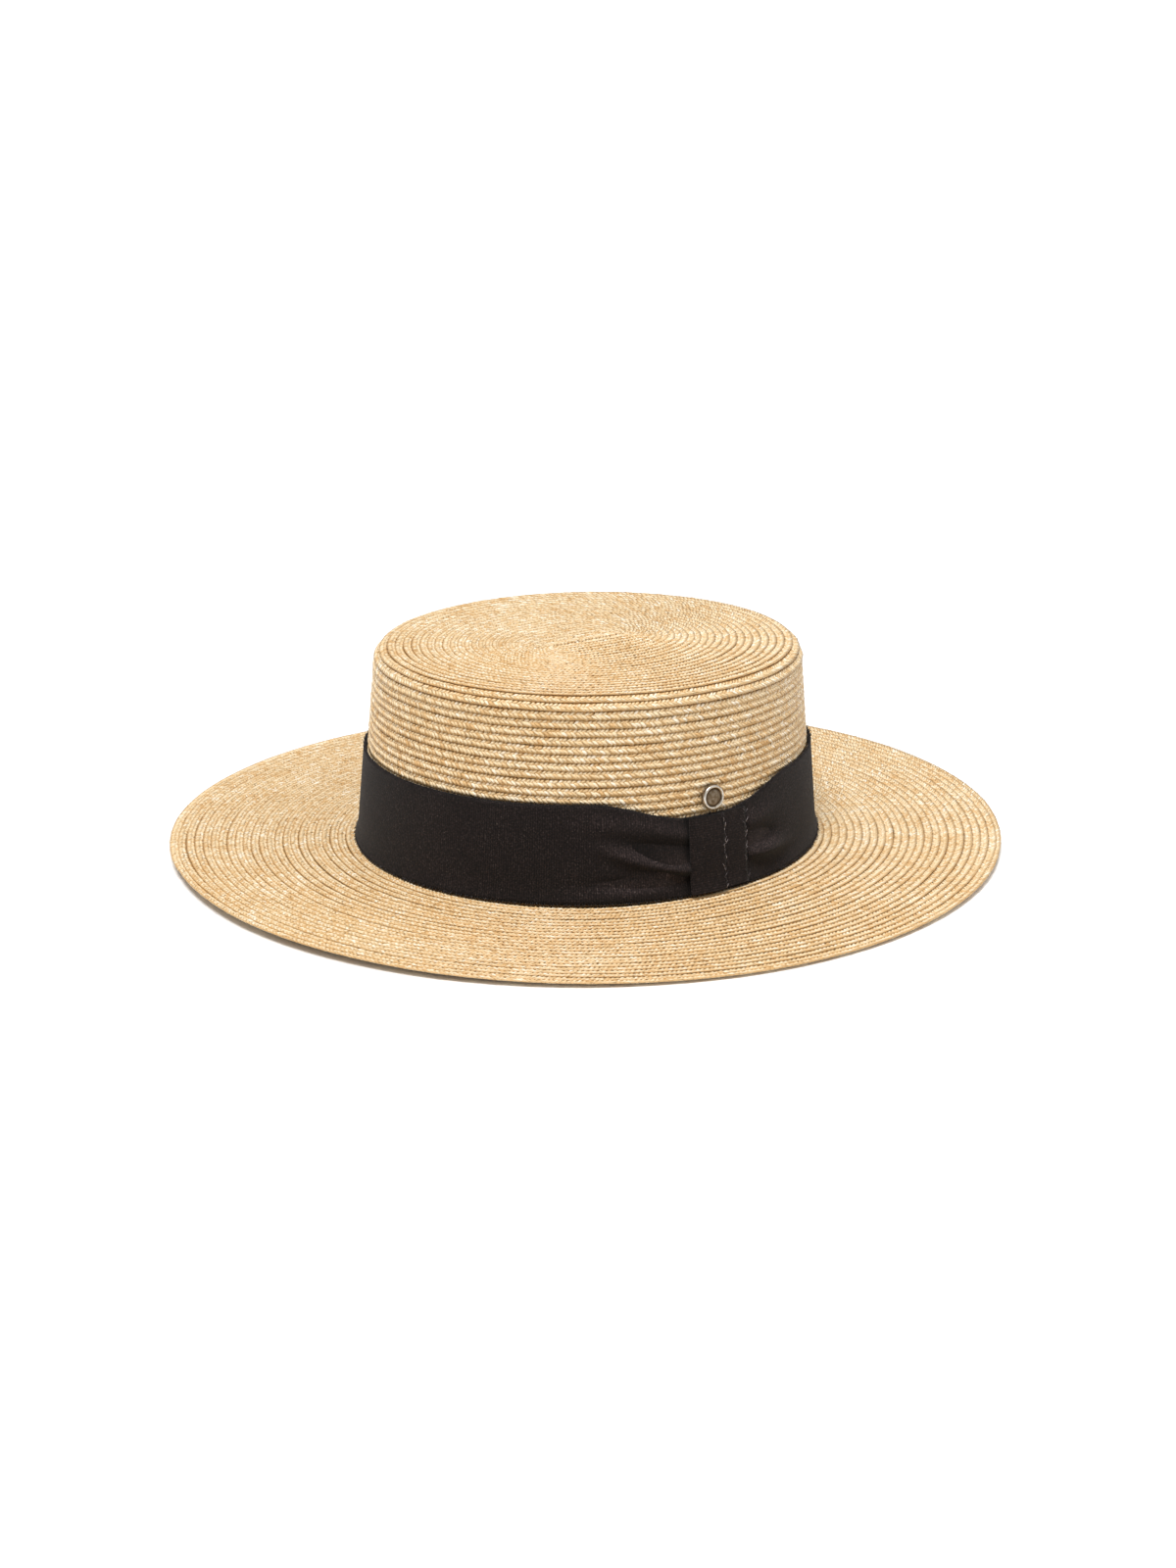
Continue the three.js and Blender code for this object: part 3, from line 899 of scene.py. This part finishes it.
fray = {
    "seed": 21,
    "band": {
        "Spacing": 0.5 * mm,
        "Thread Size": (0.36 * mm, 0.36 * mm, 1.5 * mm),
        "Scatter": (0.3 * mm, 0.0, 0.3 * mm),
        "Tilt Spread": 0.5,
        "Lean Out": 0.3,
        "Kept Share": 0.75,
        "Tone Low": 0.0,
        "Tone High": 0.62,
    },
    "tab": {
        "Spacing": 0.75 * mm,
        "Thread Size": (0.26 * mm, 0.26 * mm, 2.0 * mm),
        "Scatter": (0.55 * mm, 0.0, 0.08 * mm),
        "Tilt Spread": 0.75,
        "Lean Out": 0.12,
        "Kept Share": 0.8,
        "Tone Low": 0.3,
        "Tone High": 0.95,
    },
    "tabInset": 0.4 * mm,  # from a tab's cut edge
    "tabFootGap": 0.5 * mm,
    "tabTopGap": 1.5 * mm,
    "tabLift": 0.12 * mm,  # over the tab's face
    "tabSteps": 60,
    "bandSteps": 420,
}


def threadObject():
    stations = [(0.0, 0.0, 1.0), (0.12, 0.5, 0.85), (0.0, 1.0, 0.35)]  # bend, place and thickness
    points = []
    for bend, z, thick in stations:
        for corner in range(3):
            turn = tau * corner / 3
            points.append((bend + thick * math.cos(turn) / 2, thick * math.sin(turn) / 2, z))
    faces = [(2, 1, 0), (6, 7, 8)]
    for row in (0, 3):
        for corner in range(3):
            following = (corner + 1) % 3
            faces.append((row + corner, row + following, row + following + 3, row + corner + 3))
    return meshObject("threadShape", points, faces)


def frayTree():
    tree, given = newTree("frayedEdge", {
        "Object": ["Thread"],
        "Material": ["Material"],
        "Vector": ["Thread Size", "Scatter"],
        "Float": ["Spacing", "Tilt Spread", "Lean Out", "Kept Share", "Tone Low", "Tone High"],
        "Int": ["Seed"],
    })
    index = result(tree, "GeometryNodeInputIndex")
    outward = readMark(tree, "threadOut", "FLOAT_VECTOR")
    face = readMark(tree, "threadFace", "FLOAT_VECTOR")

    def draw(low, high, offset):
        return randomValue(tree, given, low, high, offset, index)

    curve = result(tree, "GeometryNodeMeshToCurve", {"Mesh": given["Geometry"]})
    sockets = {"Curve": curve, "Length": given["Spacing"]}
    points = result(tree, "GeometryNodeCurveToPoints", sockets, mode="LENGTH")
    sideSpread, _, faceSpread = splitXyz(tree, given["Scatter"])
    along = vectorCalc(tree, "NORMALIZE", vectorCalc(tree, "CROSS_PRODUCT", outward, face))
    move = vectorCalc(tree, "SCALE", along, times(tree, sideSpread, draw(-1.0, 1.0, 1)))
    lift = times(tree, faceSpread, draw(-1.0, 1.0, 2))
    move = vectorCalc(tree, "ADD", move, vectorCalc(tree, "SCALE", face, lift))
    tilt = times(tree, given["Tilt Spread"], draw(-1.0, 1.0, 3))
    lean = times(tree, given["Lean Out"], draw(0.2, 1.0, 4))
    stretch = xyz(tree, 1.0, 1.0, draw(0.4, 1.25, 5))
    placed = result(tree, "GeometryNodeInstanceOnPoints", {
        "Points": moveBy(tree, points, move),
        "Selection": calc(tree, "LESS_THAN", draw(0.0, 1.0, 6), given["Kept Share"]),
        "Instance": addNode(tree, "GeometryNodeObjectInfo", {"Object": given["Thread"]}).outputs["Geometry"],
        "Rotation": turnTo(tree, outward, face, xyz(tree, tilt, lean, 0.0)),
        "Scale": vectorCalc(tree, "MULTIPLY", given["Thread Size"], stretch),
    })
    tone = draw(given["Tone Low"], given["Tone High"], 7)
    return endTree(tree, given, storeMark(tree, placed, "threadTone", tone, "FLOAT", "INSTANCE"))


def threadMaterial():
    material, tree = newMaterial("frayedThread")
    speckle = calc(tree, "SUBTRACT", noise(tree, objectPlace(tree), 900.0), 0.5)
    mixed = calc(tree, "MULTIPLY_ADD", speckle, 0.3, shaderMark(tree, "threadTone"))
    stops = [(0.0, 16, 13, 14), (0.5, 34, 29, 30), (0.75, 96, 88, 90), (1.0, 176, 164, 164)]
    return dress(material, {"Base Color": ramp(tree, mixed, stops), "Roughness": 0.8})


def edgeLine(name, points, outward, facing, closed):
    made = lineObject(name, points, closed)
    markPoints(made, {"threadOut": outward, "threadFace": facing}, "FLOAT_VECTOR", "vector")
    return made


def bandEdge(name, share, outward, depth):
    angle = np.arange(fray["bandSteps"]) / fray["bandSteps"] * tau
    arc = np.arctan2(np.sin(angle), np.cos(angle)) * hat["halfWidth"]
    height = hat["ribbonFoot"] + (bandTop(arc) - hat["ribbonFoot"]) * share
    offset = bandOffset(height) + creaseRelief(arc, share) + ribbon["thickness"] * depth
    facing = np.stack([np.cos(angle), np.sin(angle), 0 * angle], axis=-1)
    directions = facing * outward[0] + np.array([0, 0, outward[1]])
    return edgeLine(name, ovalPlace(angle, offset, height), directions, facing, True)


def tabEdge(name, arc, layer):
    foot = hat["tabFoot"] + fray["tabFootGap"]
    height = np.linspace(foot, hat["tabTop"] - fray["tabTopGap"], fray["tabSteps"])
    offset = bandOffset(height) + layer + keeper["thickness"] + fray["tabLift"]
    angle = arc / hat["halfWidth"] + 0 * height
    facing = np.stack([np.cos(angle), np.sin(angle), 0 * angle], axis=-1)
    directions = np.tile([0.0, 0.0, 1.0], (len(height), 1))
    return edgeLine(name, ovalPlace(angle, offset, height), directions, facing, False)


def makeFray():
    tree = frayTree()
    material = threadMaterial()
    thread = threadObject()
    underEdge = keeper["underShift"] + keeper["underWidth"] / 2 - fray["tabInset"]
    upperEdge = keeper["upperShift"] + keeper["upperWidth"] / 2 - fray["tabInset"]
    topEdge = bandEdge("topEdge", share=0.99, outward=(0.15, 1.0), depth=0.5)
    footEdge = bandEdge("footEdge", share=0.015, outward=(0.75, -0.55), depth=0.6)
    edges = [
        ("ribbon_top_threads", topEdge, fray["band"]),
        ("ribbon_foot_threads", footEdge, fray["band"]),
        ("keeper_under_threads", tabEdge("underEdge", underEdge, keeper["underLayer"]), fray["tab"]),
        ("keeper_upper_threads", tabEdge("upperEdge", upperEdge, keeper["upperLayer"]), fray["tab"]),
    ]
    made = []
    for number, (name, host, values) in enumerate(edges):
        given = {"Thread": thread, "Material": material, "Seed": fray["seed"] + 10 * number}
        piece = bake(name, host, tree, {**values, **given})
        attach(piece, "root")
        made.append(piece)
    bpy.data.objects.remove(thread)
    return made


frayPieces = makeFray()
print("loose threads made")


stud = {
    "thickness": 2.2 * mm,
    "diameter": 9.8 * mm,
    "rim": 1.0 * mm,
    "lean": hat["taper"] / hat["wallHeight"],  # the crown's wall leans in by this much
    "sides": 64,
}


def studMaterial():
    material, tree = newMaterial("agedStudMetal")
    stain = noise(tree, objectPlace(tree), 700.0, 4.0)
    fine = noise(tree, objectPlace(tree), 3200.0)
    depth = shaderMark(tree, "studDepth")
    mixed = calc(tree, "MULTIPLY_ADD", calc(tree, "SUBTRACT", stain, 0.5), 0.7, depth)
    stops = [(0.1, 62, 48, 34), (0.4, 104, 88, 68), (0.7, 150, 138, 122), (1.0, 214, 208, 198)]
    return dress(material, {
        "Base Color": ramp(tree, mixed, stops),
        "Metallic": 0.9,
        "Roughness": ease(tree, mixed, 0.0, 1.0, 0.5, 0.26, "LINEAR"),
        "Normal": bump(tree, fine, 0.35, 0.1 * mm),
    })


def makeStud():
    radius = stud["diameter"] / 2
    inner = radius - stud["rim"]
    thick = stud["thickness"]
    profile = [  # radius, height and how bright the metal is worn there
        (0.0, 0.0, 0.3),
        (radius - 0.5 * mm, 0.0, 0.3),
        (radius, 0.5 * mm, 0.5),
        (radius, thick - 0.6 * mm, 0.7),
        (radius - 0.15 * mm, thick - 0.2 * mm, 1.0),
        (radius - 0.45 * mm, thick, 1.0),
        (inner + 0.1 * mm, thick - 0.05 * mm, 0.95),
        (inner - 0.2 * mm, thick - 0.5 * mm, 0.3),
        (inner - 0.45 * mm, thick - 0.62 * mm, 0.05),
        (inner - 0.8 * mm, thick - 0.5 * mm, 0.3),
        (inner - 1.2 * mm, thick - 0.42 * mm, 0.45),
        (radius * 0.35, thick - 0.34 * mm, 0.42),
        (0.0, thick - 0.3 * mm, 0.45),
    ]
    points, shades, faces = [], [], []
    rings = profile[1:-1]
    sides = stud["sides"]
    for ringRadius, height, shade in rings:
        for step in range(sides):
            turn = tau * step / sides
            points.append((ringRadius * math.cos(turn), ringRadius * math.sin(turn), height))
            shades.append(shade)
    for ringRadius, height, shade in (profile[0], profile[-1]):
        points.append((0, 0, height))
        shades.append(shade)
    for row in range(len(rings) - 1):
        for step in range(sides):
            after = (step + 1) % sides
            low, high = row * sides, (row + 1) * sides
            faces.append((low + step, low + after, high + after, high + step))
    top = (len(rings) - 1) * sides
    for step in range(sides):
        after = (step + 1) % sides
        faces.append((after, step, len(points) - 2))
        faces.append((top + step, top + after, len(points) - 1))
    centre = (Vector(badgeLow) + Vector(badgeHigh)) / 2
    outward = Vector((centre.x, centre.y, 0)).normalized()
    facing = (outward + Vector((0, 0, stud["lean"]))).normalized()
    turn = facing.to_track_quat("Z", "Y").to_matrix()
    back = centre - facing * (thick / 2)
    placed = [back + turn @ Vector(point) for point in points]
    piece = meshObject("stud_disc", placed, faces)
    markPoints(piece, {"studDepth": shades})
    piece.data.materials.append(studMaterial())
    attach(piece, "root")
    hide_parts("badge")


makeStud()
print("stud made")


studio = {
    "floorSize": 80.0,
    "keyPlace": (0.5, -0.65, 2.15),
    "keyPower": 3.0,
    "keySoftness": math.radians(24),
    "fillPlace": (0.9, 0.7, 1.4),
    "fillTarget": (0, 0, 0.04),
    "fillPower": 3,
    "fillSize": 1.0,
    "worldPower": 0.5,
    "cameraAzimuth": math.radians(55),
    "cameraElevation": math.radians(18.36),
    "cameraRoll": math.radians(0.38),
    "cameraDistance": 1.055,
    "cameraTarget": (0, 0, 0.0204),
    "lens": 57.76,
}


def makeFloor():
    half = studio["floorSize"] / 2
    corners = [(-half, -half, 0), (half, -half, 0), (half, half, 0), (-half, half, 0)]
    floor = meshObject("floor", corners, [(0, 1, 2, 3)], False)
    material = newMaterial("paleFloor")[0]
    floor.data.materials.append(dress(material, {"Base Color": (0.9, 0.9, 0.9, 1), "Roughness": 0.8}))


def makeFill():
    lamp = bpy.data.lights.new("fillLight", "AREA")
    lamp.shape = "DISK"
    lamp.size = studio["fillSize"]
    lamp.energy = studio["fillPower"]
    made = placeObject("fillLight", lamp)
    made.location = studio["fillPlace"]
    away = Vector(studio["fillTarget"]) - Vector(studio["fillPlace"])
    made.rotation_euler = away.to_track_quat("-Z", "Y").to_euler()


def makeSun():
    lamp = bpy.data.lights.new("keyLight", "SUN")
    lamp.angle = studio["keySoftness"]
    lamp.energy = studio["keyPower"]
    made = placeObject("keyLight", lamp)
    made.location = studio["keyPlace"]
    made.rotation_euler = Vector(studio["keyPlace"]).to_track_quat("Z", "Y").to_euler()


def makeCamera():
    azimuth, elevation = studio["cameraAzimuth"], studio["cameraElevation"]
    level = Vector((math.sin(azimuth), -math.cos(azimuth), 0)) * math.cos(elevation)
    outward = level + Vector((0, 0, math.sin(elevation)))
    camera = placeObject("camera", bpy.data.cameras.new("camera"))
    camera.data.lens = studio["lens"]
    camera.data.clip_start = 0.01
    turn = outward.to_track_quat("Z", "Y").to_matrix().to_4x4()
    spin = Matrix.Rotation(studio["cameraRoll"], 4, "Z")
    place = Vector(studio["cameraTarget"]) + outward * studio["cameraDistance"]
    camera.matrix_world = Matrix.Translation(place) @ turn @ spin
    scene.camera = camera


def makeWorld():
    scene.world = bpy.data.worlds.new("studioWorld")
    scene.world.use_nodes = True
    sky = scene.world.node_tree.nodes["Background"]
    sky.inputs[0].default_value = (1, 1, 1, 1)
    sky.inputs[1].default_value = studio["worldPower"]


makeFloor()
makeCamera()
makeSun()
makeFill()
makeWorld()
scene.view_settings.view_transform = "Standard"
print("floor, light and camera set")
